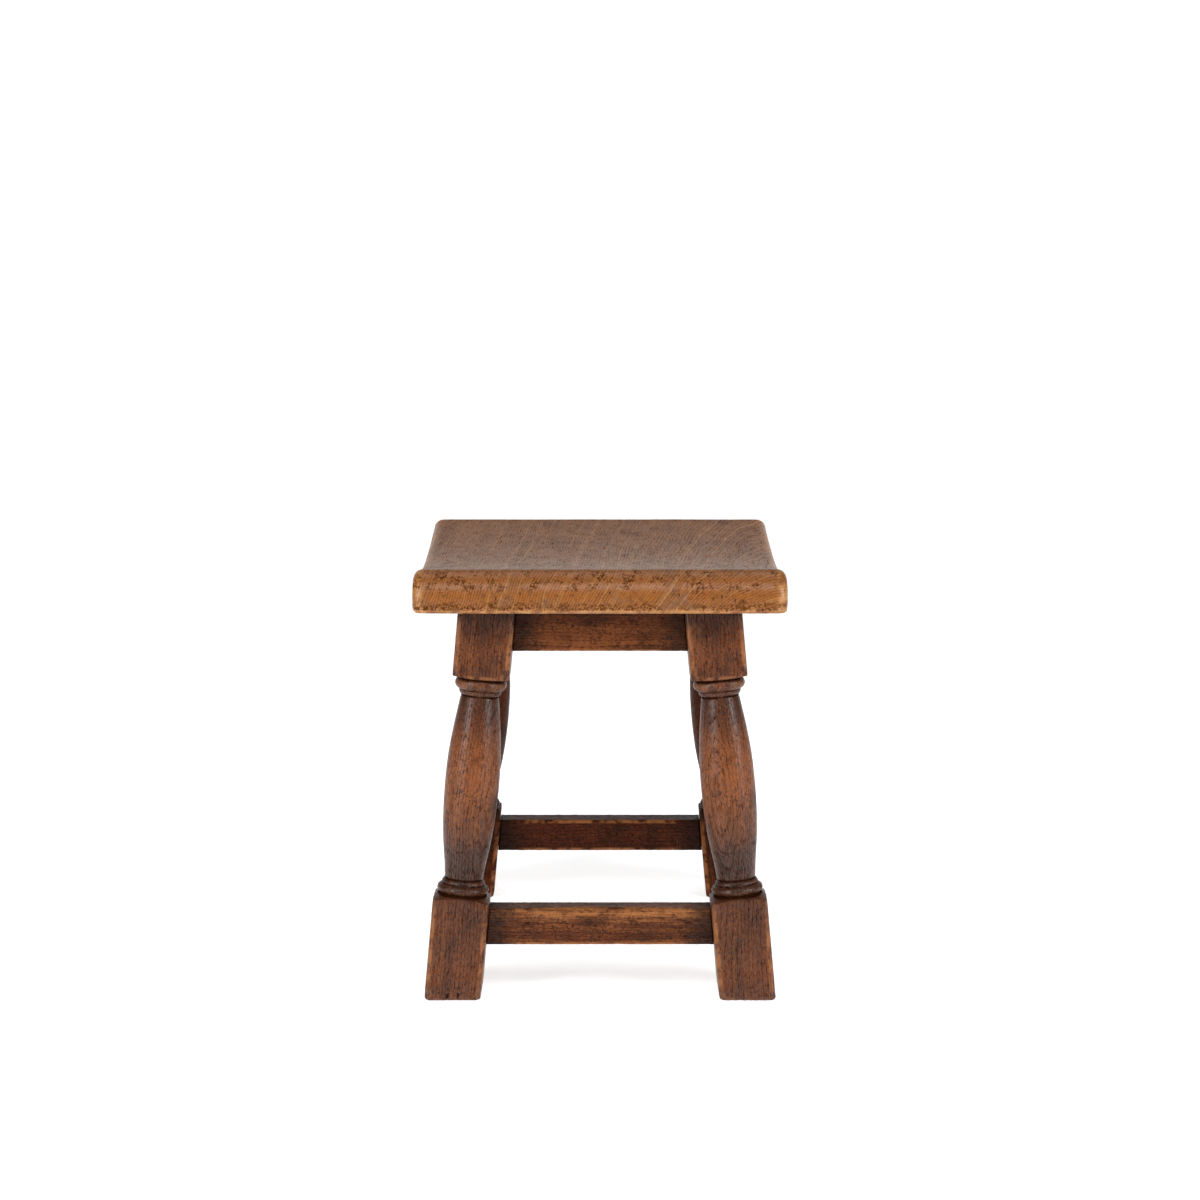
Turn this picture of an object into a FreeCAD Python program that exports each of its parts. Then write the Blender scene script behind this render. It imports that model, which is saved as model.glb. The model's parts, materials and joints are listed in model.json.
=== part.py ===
import FreeCAD, Part
import math
import os

# A joined oak stool with a dished seat, four turned and splayed legs, four aprons under the
# seat and a box of four stretchers near the floor. Everything is mortised and tenoned.
# Sizes are in millimetres. The origin is on the floor at the stool's centre, +Z is up,
# the raised lips of the seat are at the front (-Y) and at the rear (+Y).

# Seat board: thickest at its front lip, and the rear lip is lower
seat_width = 373.0
seat_depth = 400.0
seat_thickness = 40.5
dish_depth = 19.5
rear_lip_drop = 11.3
front_roll_radius = 28.0
rear_roll_radius = 18.0
crest_radius = 40.0
seat_end_radius = 10.0
seat_under_radius = 4.5

# Legs
leg_height = 403.0
leg_stock = 58.0
side_splay_angle = 5.285
front_splay_angle = 5.71
side_overhang = 44.0
front_overhang = 40.5
leg_arris_radius = 3.0
foot_arris_radius = 2.8

# Turning, measured along the leg from the floor upwards
foot_block_height = 101.0
foot_shoulder_rise = 4.2
foot_shoulder_drop = 1.8
foot_ring_height = 9.4
foot_bead_height = 3.6
groove_height = 0.5
top_block_height = 75.5
top_shoulder_rise = 3.0
top_shoulder_drop = 2.6
neck_ring_height = 12.6
neck_bead_height = 4.5
ring_radius = 26.8
groove_radius = 21.2
foot_bead_radius = 22.3
neck_bead_radius = 21.6
foot_neck_radius = 19.6
top_neck_radius = 18.7
baluster_radius = 27.9
baluster_height_shares = (0.09, 0.22, 0.355, 0.52, 0.685, 0.815, 0.945, 0.98)
baluster_radius_shares = (0.77, 0.893, 0.971, 1.0, 0.964, 0.875, 0.752, 0.715)

# Rails and the hollow that feet have worn in the front stretcher
apron_height = 49.0
apron_thickness = 25.0
stretcher_height = 37.2
stretcher_thickness = 25.0
stretcher_setdown = 9.8
rail_arris_radius = 1.5
worn_length = 225.0
worn_depth = 4.5
worn_angle = 45.0

# Joints
tenon_thickness = 10.0
tenon_shoulder = 6.0
apron_haunch = 13.0
tenon_tip_gap = 1.0
mortise_gap = 0.2

# Hidden fixings between the aprons and the seat
glue_block_length = 50.0
glue_block_side = 22.0
glue_block_toe = 6.0
screw_place_share = 0.64
screw_angle = 25.0
screw_offset = 2.0
screw_grip = 15.0
screw_bite = 14.0
screw_shank_radius = 2.1
screw_point_length = 5.0
screw_head_radius = 4.0
screw_head_height = 2.6
screw_slot_width = 1.1
screw_slot_depth = 1.2
screw_hole_gap = 0.15
screw_hole_extra = 1.0
pocket_radius = 5.5

# One overrun serves every cut
overrun = 1.0

# Values that follow from the sizes above
X_AXIS = FreeCAD.Vector(1, 0, 0)
Y_AXIS = FreeCAD.Vector(0, 1, 0)
Z_AXIS = FreeCAD.Vector(0, 0, 1)
ORIGIN = FreeCAD.Vector(0, 0, 0)
side_slope = math.tan(math.radians(side_splay_angle))
front_slope = math.tan(math.radians(front_splay_angle))
axis_stretch = math.sqrt(1 + side_slope ** 2 + front_slope ** 2)
leg_length = leg_height * axis_stretch
half_stock = leg_stock / 2
corner_radius = leg_stock / math.sqrt(2)
top_axis_x = seat_width / 2 - side_overhang - half_stock / math.cos(math.radians(side_splay_angle))
top_axis_y = seat_depth / 2 - front_overhang - half_stock / math.cos(math.radians(front_splay_angle))
foot_axis_x = top_axis_x + leg_height * side_slope
foot_axis_y = top_axis_y + leg_height * front_slope
core_half = tenon_thickness / 2 + tenon_tip_gap
stretcher_top = foot_block_height / axis_stretch - stretcher_setdown
stretcher_bottom = stretcher_top - stretcher_height
apron_bottom = leg_height - apron_height
reach = seat_width + seat_depth + leg_height

# The four corners of the stool: sign of X and sign of Y
CORNERS = {
    "front_left": (-1, -1),
    "front_right": (1, -1),
    "rear_left": (-1, 1),
    "rear_right": (1, 1),
}

# The four sides: turn about Z from the front, distance of the legs' axes from the middle
# at the floor, splay of that side, and half of the span between the legs' axes at the floor
SIDES = {
    "front": (0, foot_axis_y, front_splay_angle, foot_axis_x),
    "right": (90, foot_axis_x, side_splay_angle, foot_axis_y),
    "rear": (180, foot_axis_y, front_splay_angle, foot_axis_x),
    "left": (270, foot_axis_x, side_splay_angle, foot_axis_y),
}


def level_slab(low=0, high=leg_height):
    """All space between two heights: from the floor to the seat's underside, unless told."""
    corner = FreeCAD.Vector(-reach / 2, -reach / 2, low)
    return Part.makeBox(reach, reach, high - low, corner)


def leg_placement(corner):
    """Frame of a leg: origin where its axis meets the floor, Z up along the leg."""
    sign_x, sign_y = CORNERS[corner]
    up = FreeCAD.Vector(-sign_x * side_slope, -sign_y * front_slope, 1)
    turn = FreeCAD.Rotation(X_AXIS, Y_AXIS, up, "ZXY")
    foot = FreeCAD.Vector(sign_x * foot_axis_x, sign_y * foot_axis_y, 0)
    return FreeCAD.Placement(foot, turn)


def leg_prism(corner, half):
    """A long square prism about a leg's axis, longer than the leg at both ends."""
    start = FreeCAD.Vector(-half, -half, -leg_stock)
    prism = Part.makeBox(2 * half, 2 * half, leg_length + 2 * leg_stock, start)
    prism.Placement = leg_placement(corner)
    return prism


def side_placement(side):
    """Frame of a side: X along the rails, Y inwards, Z up along the splayed side."""
    turn, distance, splay, _ = SIDES[side]
    around = FreeCAD.Placement(ORIGIN, FreeCAD.Rotation(Z_AXIS, turn))
    lean = FreeCAD.Placement(FreeCAD.Vector(0, -distance, 0), FreeCAD.Rotation(X_AXIS, -splay))
    return around.multiply(lean)


def side_legs(side):
    """The two corners that a side's rails run between."""
    if side in ("front", "rear"):
        return [name for name in CORNERS if name.startswith(side)]
    return [name for name in CORNERS if name.endswith(side)]


def along_side(side, height):
    """A height above the floor, measured along the splayed side."""
    return height / math.cos(math.radians(SIDES[side][2]))


def side_box(side, thickness, low, high):
    """A bar centred in the legs of one side, ending at the legs' axes."""
    half_span = SIDES[side][3]
    corner = FreeCAD.Vector(-half_span, -thickness / 2, low)
    bar = Part.makeBox(2 * half_span, thickness, high - low, corner)
    bar.Placement = side_placement(side)
    return bar


def largest(shape):
    """The biggest solid of a cut: the stretch of a bar between the two legs."""
    return max(shape.Solids, key=lambda solid: solid.Volume)


def tenon_bar(side, low, high, gap):
    """The tenons of a rail as one bar; with a gap it is the shape that cuts the mortises."""
    bar = side_box(side, tenon_thickness + 2 * gap, low - gap, high + gap)
    for corner in side_legs(side):
        bar = bar.cut(leg_prism(corner, core_half - gap))
    return largest(bar)


def rail_body(side, thickness, low, high):
    """The visible part of a rail, with shoulders that follow the splay of the legs."""
    body = side_box(side, thickness, low, high)
    for corner in side_legs(side):
        body = body.cut(leg_prism(corner, half_stock))
    return largest(body)


def long_edges(solid):
    """Edges that run from shoulder to shoulder."""
    longest = max(edge.Length for edge in solid.Edges)
    return [edge for edge in solid.Edges if edge.Length > longest / 2]


def stretcher_tenon(side, gap):
    low = along_side(side, stretcher_bottom) + tenon_shoulder
    high = along_side(side, stretcher_top) - tenon_shoulder
    return tenon_bar(side, low, high, gap)


def apron_tenon(side, gap):
    low = along_side(side, apron_bottom) + tenon_shoulder
    high = along_side(side, leg_height) - apron_haunch
    return tenon_bar(side, low, high, gap)


def foot_wear(side):
    """The hollow that feet rub into the top outer arris of a stretcher: a large shallow disc."""
    radius = worn_length ** 2 / (8 * worn_depth) + worn_depth / 2
    width = stretcher_height
    disc = Part.makeCylinder(radius, 2 * width, FreeCAD.Vector(0, 0, -width), Z_AXIS)
    disc.rotate(ORIGIN, X_AXIS, -worn_angle)
    lift = radius - worn_depth
    lean = math.radians(worn_angle)
    out = stretcher_thickness / 2 + lift * math.sin(lean)
    up = along_side(side, stretcher_top) + lift * math.cos(lean)
    disc.translate(FreeCAD.Vector(0, -out, up))
    disc.Placement = side_placement(side).multiply(disc.Placement)
    return disc


def make_stretcher(side):
    low = along_side(side, stretcher_bottom)
    high = along_side(side, stretcher_top)
    body = rail_body(side, stretcher_thickness, low - tenon_shoulder, high + tenon_shoulder)
    body = body.common(level_slab(stretcher_bottom, stretcher_top))
    body = body.makeFillet(rail_arris_radius, long_edges(body))
    if side == "front":
        body = body.cut(foot_wear(side))
    return body.fuse(stretcher_tenon(side, 0)).removeSplitter()


def make_apron(side):
    low = along_side(side, apron_bottom)
    high = along_side(side, leg_height)
    body = rail_body(side, apron_thickness, low - tenon_shoulder, high + apron_haunch)
    body = body.common(level_slab(apron_bottom, leg_height))
    lower = [edge for edge in long_edges(body) if edge.CenterOfMass.z < leg_height - apron_height / 2]
    body = body.makeFillet(rail_arris_radius, lower)
    apron = body.fuse(apron_tenon(side, 0)).removeSplitter()
    for place in screw_places(side):
        apron = apron.cut(screw_hole(side, place))
        apron = apron.cut(screw_pocket(side, place))
    return apron


def at(radius, height):
    """A point of the turned profile."""
    return FreeCAD.Vector(radius, 0, height)


def ring_arc(base_low, bulge, base_high, low, high):
    """A turned half-round between two heights, as an arc in the profile plane."""
    middle = at(bulge, (low + high) / 2)
    return Part.Arc(at(base_low, low), middle, at(base_high, high)).toShape()


def turned_profile():
    """Half profile of the leg as turned, from the foot block up to the top block."""
    bound = corner_radius + overrun
    below = -leg_stock
    above = leg_length + leg_stock
    foot_ring = foot_block_height + foot_shoulder_rise
    foot_groove = foot_ring + foot_ring_height
    foot_bead = foot_groove + groove_height
    foot_neck = foot_bead + foot_bead_height + groove_height
    block = leg_length - top_block_height
    collar = block - top_shoulder_rise
    neck_ring = collar - neck_ring_height
    neck_groove = neck_ring - groove_height
    neck_bead = neck_groove - neck_bead_height
    neck = neck_bead - groove_height
    baluster = [at(foot_neck_radius, foot_neck)]
    for height_share, radius_share in zip(baluster_height_shares, baluster_radius_shares):
        height = foot_neck + height_share * (neck - foot_neck)
        baluster.append(at(radius_share * baluster_radius, height))
    baluster.append(at(top_neck_radius, neck))
    curve = Part.BSplineCurve()
    curve.interpolate(baluster)
    foot_corner = at(bound, foot_block_height)
    foot_middle = at(half_stock, foot_block_height + foot_shoulder_drop)
    foot_inner = at(groove_radius, foot_ring)
    top_inner = at(groove_radius, collar)
    top_middle = at(half_stock, block - top_shoulder_drop)
    top_corner = at(bound, block)
    edges = [
        Part.makeLine(at(0, below), at(bound, below)),
        Part.makeLine(at(bound, below), foot_corner),
        Part.Arc(foot_corner, foot_middle, foot_inner).toShape(),
        ring_arc(groove_radius, ring_radius, groove_radius, foot_ring, foot_groove),
        Part.makeLine(at(groove_radius, foot_groove), at(groove_radius, foot_bead)),
        ring_arc(groove_radius, foot_bead_radius, foot_neck_radius, foot_bead, foot_neck),
        curve.toShape(),
        Part.makeLine(at(top_neck_radius, neck), at(top_neck_radius, neck_bead)),
        ring_arc(top_neck_radius, neck_bead_radius, groove_radius, neck_bead, neck_groove),
        Part.makeLine(at(groove_radius, neck_groove), at(groove_radius, neck_ring)),
        ring_arc(groove_radius, ring_radius, groove_radius, neck_ring, collar),
        Part.Arc(top_inner, top_middle, top_corner).toShape(),
        Part.makeLine(top_corner, at(bound, above)),
        Part.makeLine(at(bound, above), at(0, above)),
        Part.makeLine(at(0, above), at(0, below)),
    ]
    return Part.Wire(edges)


def straight_leg():
    """The leg before it is splayed: square stock with rounded arrises, turned in between."""
    start = FreeCAD.Vector(-half_stock, -half_stock, -leg_stock)
    stock = Part.makeBox(leg_stock, leg_stock, leg_length + 2 * leg_stock, start)
    stock = stock.makeFillet(leg_arris_radius, long_edges(stock))
    turning = Part.Face(turned_profile()).revolve(ORIGIN, Z_AXIS, 360)
    return stock.common(turning)


def make_leg(corner):
    leg = straight_leg()
    leg.Placement = leg_placement(corner)
    leg = leg.common(level_slab())
    foot_edges = [edge for edge in leg.Edges if edge.BoundBox.ZMax < overrun / 2]
    leg = leg.makeFillet(foot_arris_radius, foot_edges)
    for side in SIDES:
        if corner in side_legs(side):
            leg = leg.cut(stretcher_tenon(side, mortise_gap))
            leg = leg.cut(apron_tenon(side, mortise_gap))
    return leg


def lip_points(rise, roll_radius):
    """Outline of half the seat's top, from the outer face over a lip to the bottom of the dish.

    Each point is a distance from the middle and a height. Three points make an arc, and the
    arcs are tangent: the rolled edge, the crest and the hollow of the dish.
    """
    lowest = leg_height + seat_thickness - dish_depth
    top = lowest + rise
    crest = seat_depth / 2 - roll_radius
    slope = 2 * math.atan(rise / crest)
    dish_radius = crest / math.sin(slope) - crest_radius

    def on_arc(centre, top_or_bottom, radius, angle):
        return (centre + radius * math.sin(angle), top_or_bottom - radius * (1 - math.cos(angle)))

    return [
        on_arc(crest, top, roll_radius, math.radians(90)),
        on_arc(crest, top, roll_radius, math.radians(45)),
        (crest, top),
        on_arc(crest, top, crest_radius, -slope / 2),
        on_arc(crest, top, crest_radius, -slope),
        on_arc(0, lowest, -dish_radius, -slope / 2),
        (0, lowest),
    ]


def seat_section():
    """Section of the seat from front to rear: flat below, rolled lips and a dish above."""
    front_half = lip_points(dish_depth, front_roll_radius)
    rear_half = lip_points(dish_depth - rear_lip_drop, rear_roll_radius)
    front_points = [FreeCAD.Vector(0, -away, height) for away, height in front_half]
    rear_points = [FreeCAD.Vector(0, away, height) for away, height in reversed(rear_half)]
    front_foot = FreeCAD.Vector(0, -seat_depth / 2, leg_height)
    rear_foot = FreeCAD.Vector(0, seat_depth / 2, leg_height)
    edges = [Part.makeLine(front_foot, front_points[0])]
    for points in (front_points, rear_points):
        for start in range(0, len(points) - 1, 2):
            edges.append(Part.Arc(*points[start:start + 3]).toShape())
    edges.append(Part.makeLine(rear_points[-1], rear_foot))
    edges.append(Part.makeLine(rear_foot, front_foot))
    return Part.Wire(edges)


def make_seat():
    section = Part.Face(seat_section())
    section.translate(FreeCAD.Vector(-seat_width / 2, 0, 0))
    seat = section.extrude(FreeCAD.Vector(seat_width, 0, 0))
    end_x = seat_width / 2 - overrun
    upper = [
        edge for edge in seat.Edges
        if abs(edge.CenterOfMass.x) > end_x and edge.CenterOfMass.z > leg_height + overrun
    ]
    seat = seat.makeFillet(seat_end_radius, upper)
    lower = [edge for edge in seat.Edges if edge.BoundBox.ZMax < leg_height + overrun]
    seat = seat.makeFillet(seat_under_radius, lower)
    for side in SIDES:
        for place in screw_places(side):
            seat = seat.cut(screw_hole(side, place))
    return seat


def screw_places(side):
    """Places along an apron where a screw goes up into the seat."""
    slope = side_slope if side in ("front", "rear") else front_slope
    half_clear = SIDES[side][3] - leg_height * slope - half_stock
    return (-screw_place_share * half_clear, screw_place_share * half_clear)


def screw_placement(side, place):
    """Frame of a screw: origin where it crosses the seat's underside, Z along the screw, up."""
    top = along_side(side, leg_height)
    start = FreeCAD.Vector(place, screw_offset, top)
    local = FreeCAD.Placement(start, FreeCAD.Rotation(X_AXIS, screw_angle))
    return side_placement(side).multiply(local)


def placed(shape, placement):
    shape.Placement = placement
    return shape


def screw_hole(side, place):
    """The hole that a screw's shank and point fill, through the apron and into the seat."""
    radius = screw_shank_radius + screw_hole_gap
    length = screw_grip + screw_bite + screw_hole_extra
    hole = Part.makeCylinder(radius, length, FreeCAD.Vector(0, 0, -screw_grip))
    return placed(hole, screw_placement(side, place))


def screw_pocket(side, place):
    """The bored pocket on the inside of an apron, which ends where the screw's head seats."""
    length = apron_height
    pocket = Part.makeCylinder(pocket_radius, length, FreeCAD.Vector(0, 0, -screw_grip - length))
    return placed(pocket, screw_placement(side, place))


def make_screw(side, place):
    """A round-headed wood screw with a slot; its thread is left out."""
    seat_level = -screw_grip
    head_level = seat_level - screw_head_height
    tip = at(0, screw_bite)
    neck = at(screw_shank_radius, screw_bite - screw_point_length)
    throat = at(screw_shank_radius, seat_level)
    rim = at(screw_head_radius, seat_level)
    crown = at(0, head_level)
    middle_angle = math.radians(45)
    shoulder = at(screw_head_radius * math.cos(middle_angle),
                  seat_level - screw_head_height * math.sin(middle_angle))
    edges = [
        Part.makeLine(tip, neck),
        Part.makeLine(neck, throat),
        Part.makeLine(throat, rim),
        Part.Arc(rim, shoulder, crown).toShape(),
        Part.makeLine(crown, tip),
    ]
    screw = Part.Face(Part.Wire(edges)).revolve(ORIGIN, Z_AXIS, 360)
    half_slot = screw_head_radius + overrun
    slot_corner = FreeCAD.Vector(-half_slot, -screw_slot_width / 2, head_level - overrun)
    slot = Part.makeBox(2 * half_slot, screw_slot_width, screw_slot_depth + overrun, slot_corner)
    return placed(screw.cut(slot), screw_placement(side, place))


def make_glue_block(side):
    """A rubbed glue block in the angle between an apron and the seat."""
    inner = apron_thickness / 2
    top = along_side(side, leg_height)
    outline = [
        (inner, top + glue_block_toe),
        (inner, top - glue_block_side),
        (inner + glue_block_toe, top - glue_block_side),
        (inner + glue_block_side, top - glue_block_toe),
        (inner + glue_block_side, top + glue_block_toe),
    ]
    points = [FreeCAD.Vector(-glue_block_length / 2, y, z) for y, z in outline]
    face = Part.Face(Part.makePolygon(points + points[:1]))
    block = face.extrude(FreeCAD.Vector(glue_block_length, 0, 0))
    block = placed(block, side_placement(side))
    return block.common(level_slab())


def all_pieces():
    pieces = {"seat": make_seat()}
    for corner in CORNERS:
        pieces[corner + "_leg"] = make_leg(corner)
    for side in SIDES:
        pieces[side + "_apron"] = make_apron(side)
        pieces[side + "_stretcher"] = make_stretcher(side)
        pieces[side + "_glue_block"] = make_glue_block(side)
    screws = [make_screw(side, place) for side in SIDES for place in screw_places(side)]
    pieces["seat_screws"] = Part.makeCompound(screws)
    return pieces


os.makedirs("parts", exist_ok=True)
for name, shape in all_pieces().items():
    box = shape.BoundBox
    print(name, "solids", len(shape.Solids), "valid", shape.isValid(),
          "x", round(box.XMin, 1), round(box.XMax, 1), "y", round(box.YMin, 1), round(box.YMax, 1),
          "z", round(box.ZMin, 1), round(box.ZMax, 1), "volume", round(shape.Volume))
    shape.exportStep(os.path.join("parts", name + ".step"))
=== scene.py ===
# %% [markdown]
# # A joined oak stool
# A joined stool is a small frame of rails and turned legs, held together by mortises and tenons,
# with one thick board on top. Two or three centuries of sitting, waxing and foot scraping have
# rounded every arris and given the oak its colours. This lesson first loads the measured model
# as a frame, then models each wooden piece over it as a joiner would make it, wears it down,
# and gives it stained and waxed oak. All lengths are in metres.

# %% Load the frame
import json
import math

import bpy
import numpy as np
from mathutils import Matrix, Vector


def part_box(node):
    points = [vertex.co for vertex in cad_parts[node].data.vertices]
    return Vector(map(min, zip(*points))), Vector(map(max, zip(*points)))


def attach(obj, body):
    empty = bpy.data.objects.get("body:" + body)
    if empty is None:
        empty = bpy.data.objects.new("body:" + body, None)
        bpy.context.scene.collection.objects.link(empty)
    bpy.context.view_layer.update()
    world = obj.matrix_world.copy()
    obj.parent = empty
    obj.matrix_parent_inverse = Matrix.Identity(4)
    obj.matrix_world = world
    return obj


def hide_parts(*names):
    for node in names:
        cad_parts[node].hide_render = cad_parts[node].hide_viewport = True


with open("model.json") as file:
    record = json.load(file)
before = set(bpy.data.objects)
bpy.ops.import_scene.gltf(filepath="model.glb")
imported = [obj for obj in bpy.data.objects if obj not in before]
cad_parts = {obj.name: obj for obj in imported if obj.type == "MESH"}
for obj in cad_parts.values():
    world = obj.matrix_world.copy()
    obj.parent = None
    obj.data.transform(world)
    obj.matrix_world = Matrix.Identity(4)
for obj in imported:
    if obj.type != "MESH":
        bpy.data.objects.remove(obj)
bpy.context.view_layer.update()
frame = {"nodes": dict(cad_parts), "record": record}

MM = 0.001

# %% [markdown]
# ## The camera
# The view is a long lens from almost three metres away, a little under twelve degrees above the
# level. It is set first, because it decides how much detail is worth modelling: one
# pixel of the picture is about one millimetre on the front legs. A long lens is an angle of
# view, so it could be given as degrees too, but a focal length on a 36 mm frame is what a
# photographer would say.

# %% Camera
camera_distance = 2.8126
camera_height = 0.9545
camera_pitch = math.radians(11.604)
camera_lens_mm = 81.0

camera = bpy.data.objects.new("camera", bpy.data.cameras.new("camera"))
bpy.context.scene.collection.objects.link(camera)
camera.location = (0, -camera_distance, camera_height)
camera.rotation_euler = (math.radians(90) - camera_pitch, 0, 0)
camera.data.sensor_width = 36.0
camera.data.lens = camera_lens_mm
bpy.context.scene.camera = camera
print("camera stands", camera_distance, "m in front and", camera_height, "m up")

# %% [markdown]
# ## A few habits at the bench
# An operator works on whatever is selected, and the loaded nodes are all selected, so each step
# first takes one piece in hand. A modifier is added and applied in one go, because the
# finished piece should be a plain mesh that anyone can open.


# %% Take a piece in hand, and apply a modifier
def take(piece):
    """Selects one piece only and makes it active."""
    bpy.ops.object.select_all(action="DESELECT")
    piece.select_set(True)
    bpy.context.view_layer.objects.active = piece


def modify(piece, kind, **settings):
    """Adds a modifier with its settings and applies it."""
    take(piece)
    modifier = piece.modifiers.new(kind.lower(), kind)
    for name, value in settings.items():
        setattr(modifier, name, value)
    bpy.ops.object.modifier_apply(modifier=modifier.name)


def cut_with(piece, tool, operation="DIFFERENCE"):
    """Cuts a piece with a tool, and puts the tool away."""
    modify(piece, "BOOLEAN", object=tool, operation=operation, solver="EXACT")
    bpy.data.objects.remove(tool)


def copy_of(piece, name):
    """A copy of a piece with a mesh of its own."""
    twin = piece.copy()
    twin.data = piece.data.copy()
    twin.name = name
    twin.data.name = name
    bpy.context.scene.collection.objects.link(twin)
    return twin


# %% [markdown]
# Some shapes start as a drawn line: the half profile of a turned leg, or the section of the
# dished seat. A line could be typed as a mesh of points and edges, but by hand it is drawn by
# extruding one vertex from point to point, and that is what this does.


# %% Draw a line, and bend it along an arc
def draw_line(name, points):
    """A line of edges through points, made by extruding a single vertex."""
    bpy.ops.object.select_all(action="DESELECT")
    bpy.ops.mesh.primitive_plane_add(size=MM)
    line = bpy.context.object
    line.name = name
    bpy.ops.object.mode_set(mode="EDIT")
    bpy.ops.mesh.select_mode(type="VERT")
    bpy.ops.mesh.merge(type="CENTER")
    bpy.ops.transform.translate(value=points[0])
    for here, there in zip(points, points[1:]):
        bpy.ops.mesh.extrude_region_move(TRANSFORM_OT_translate={"value": there - here})
    bpy.ops.mesh.select_all(action="SELECT")
    bpy.ops.object.mode_set(mode="OBJECT")
    return line


def arc(start, middle, end, steps):
    """Points on the circle through three points, from the start up to the end."""
    across = end - start
    to_middle = middle - start
    normal = across.cross(to_middle)
    toward = normal.cross(across) * to_middle.length_squared
    toward -= normal.cross(to_middle) * across.length_squared
    centre = start + toward / (2 * normal.length_squared)
    first = (start - centre).rotation_difference(middle - centre)
    angle = first.angle + (middle - centre).rotation_difference(end - centre).angle
    turns = [Matrix.Rotation(angle * step / steps, 3, first.axis) for step in range(steps + 1)]
    return [centre + turn @ (start - centre) for turn in turns]


print("the bench is ready")

# %% [markdown]
# ## The leg's place
# Each leg leans inwards both ways. Its foot is known from the soles in the record, and the
# two splay angles are the ones that the mortises were set out with. The leg's own frame has Z
# along its axis, so all that is turned or sawn square to the axis is easy to say in it.

# %% Leg sizes and the leg's own frame
leg_stock = 58.0 * MM
leg_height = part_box("seat")[0].z
side_slope = math.tan(math.radians(5.285))
front_slope = math.tan(math.radians(5.71))
soles = {m["name"][:-5]: Vector(m["pos_m"]) for m in frame["record"]["mounts"]}
leg_length = leg_height * math.sqrt(1 + side_slope ** 2 + front_slope ** 2)
half_stock = leg_stock / 2


def leg_frame(corner):
    """The leg's own frame: origin where its axis meets the floor, Z up along the leg."""
    foot = soles[corner]
    up = Vector((-math.copysign(side_slope, foot.x), -math.copysign(front_slope, foot.y), 1)).normalized()
    across = Vector((1, 0, 0))
    across = (across - across.dot(up) * up).normalized()
    turn = Matrix((across, up.cross(across), up)).transposed()
    return Matrix.Translation(foot) @ turn.to_4x4()


front_left = leg_frame("front_left")
front_left_foot = [round(v / MM, 1) for v in front_left.translation]
print("a leg is", round(leg_length / MM, 1), "mm long, its foot at", front_left_foot)

# %% [markdown]
# ## The stock of a leg
# A leg starts as a square billet of oak, sawn to length at the angle of the floor. The real
# one has had its arrises and its foot rounded by wear, so the same bevel goes round the
# sole and up the four long arrises. It is bevelled while it is still a plain box,
# because a bevel on few long edges is clean.

# %% Saw the billet
arris_bevel = 3.6 * MM
spare = 30.0 * MM
bpy.ops.object.select_all(action="DESELECT")
bpy.ops.mesh.primitive_cube_add(size=1)
leg_blank = bpy.context.object
leg_blank.name = "leg_blank"
bpy.ops.object.mode_set(mode="EDIT")
bpy.ops.transform.resize(value=(leg_stock, leg_stock, leg_length + 2 * spare))
bpy.ops.transform.translate(value=(0, 0, leg_length / 2))
level = front_left.to_3x3().inverted() @ Vector((0, 0, 1))
bpy.ops.mesh.bisect(plane_co=(0, 0, 0), plane_no=level, use_fill=True, clear_inner=True)
bpy.ops.mesh.select_all(action="SELECT")
bpy.ops.mesh.bisect(plane_co=(0, 0, leg_length), plane_no=level, use_fill=True, clear_outer=True)
bpy.ops.object.mode_set(mode="OBJECT")
print("billet with", len(leg_blank.data.polygons), "faces")


# %% Round the arrises and the sole
def select_edges(piece, wanted):
    """In edit mode, selects only the edges whose two ends pass a test."""
    bpy.ops.object.mode_set(mode="OBJECT")
    mesh = piece.data
    for part in (*mesh.vertices, *mesh.polygons):
        part.select = False
    for edge in mesh.edges:
        edge.select = wanted(*(mesh.vertices[i].co for i in edge.vertices))
    bpy.ops.object.mode_set(mode="EDIT")


take(leg_blank)
bpy.ops.object.mode_set(mode="EDIT")
bpy.ops.mesh.select_mode(type="EDGE")
select_edges(leg_blank, lambda a, b: min(a.z, b.z) < leg_length / 2)
bpy.ops.mesh.bevel(offset=arris_bevel, segments=5, affect="EDGES")
bpy.ops.object.mode_set(mode="OBJECT")
print("rounded billet with", len(leg_blank.data.polygons), "faces")

# %% [markdown]
# ## The turning
# Between its two square blocks the leg is turned: from the foot upwards a shoulder, a ring, a
# bead, a long swelling baluster, a neck, a bead, a ring and a shoulder again. The half
# profile is drawn once and spun about the axis. Where the blocks are, the profile stands
# outside the billet, so that what both shapes share is the finished leg, and the curved
# shoulders of the blocks come out by themselves, as they do on a lathe.

# %% Turning sizes, from the floor upwards
foot_block = 101.0 * MM
top_block = leg_length - 75.5 * MM
shoulder_rise = 4.2 * MM
shoulder_drop = 1.8 * MM
collar_rise = 3.0 * MM
collar_drop = 2.6 * MM
foot_ring = 9.4 * MM
foot_bead = 3.6 * MM
neck_ring = 12.6 * MM
neck_bead = 4.5 * MM
groove = 0.5 * MM
ring_radius = 26.8 * MM
groove_radius = 21.2 * MM
foot_bead_radius = 22.3 * MM
neck_bead_radius = 21.6 * MM
foot_neck_radius = 19.6 * MM
top_neck_radius = 18.7 * MM
baluster_radius = 27.9 * MM
turned_steps = 10
baluster_shares = (
    (0.0, foot_neck_radius / baluster_radius), (0.09, 0.77), (0.22, 0.893), (0.355, 0.971), (0.52, 1.0),
    (0.685, 0.964), (0.815, 0.875), (0.945, 0.752), (0.98, 0.715), (1.0, top_neck_radius / baluster_radius),
)


def at(radius, height):
    """A point of the turned profile."""
    return Vector((radius, 0, height))


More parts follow.
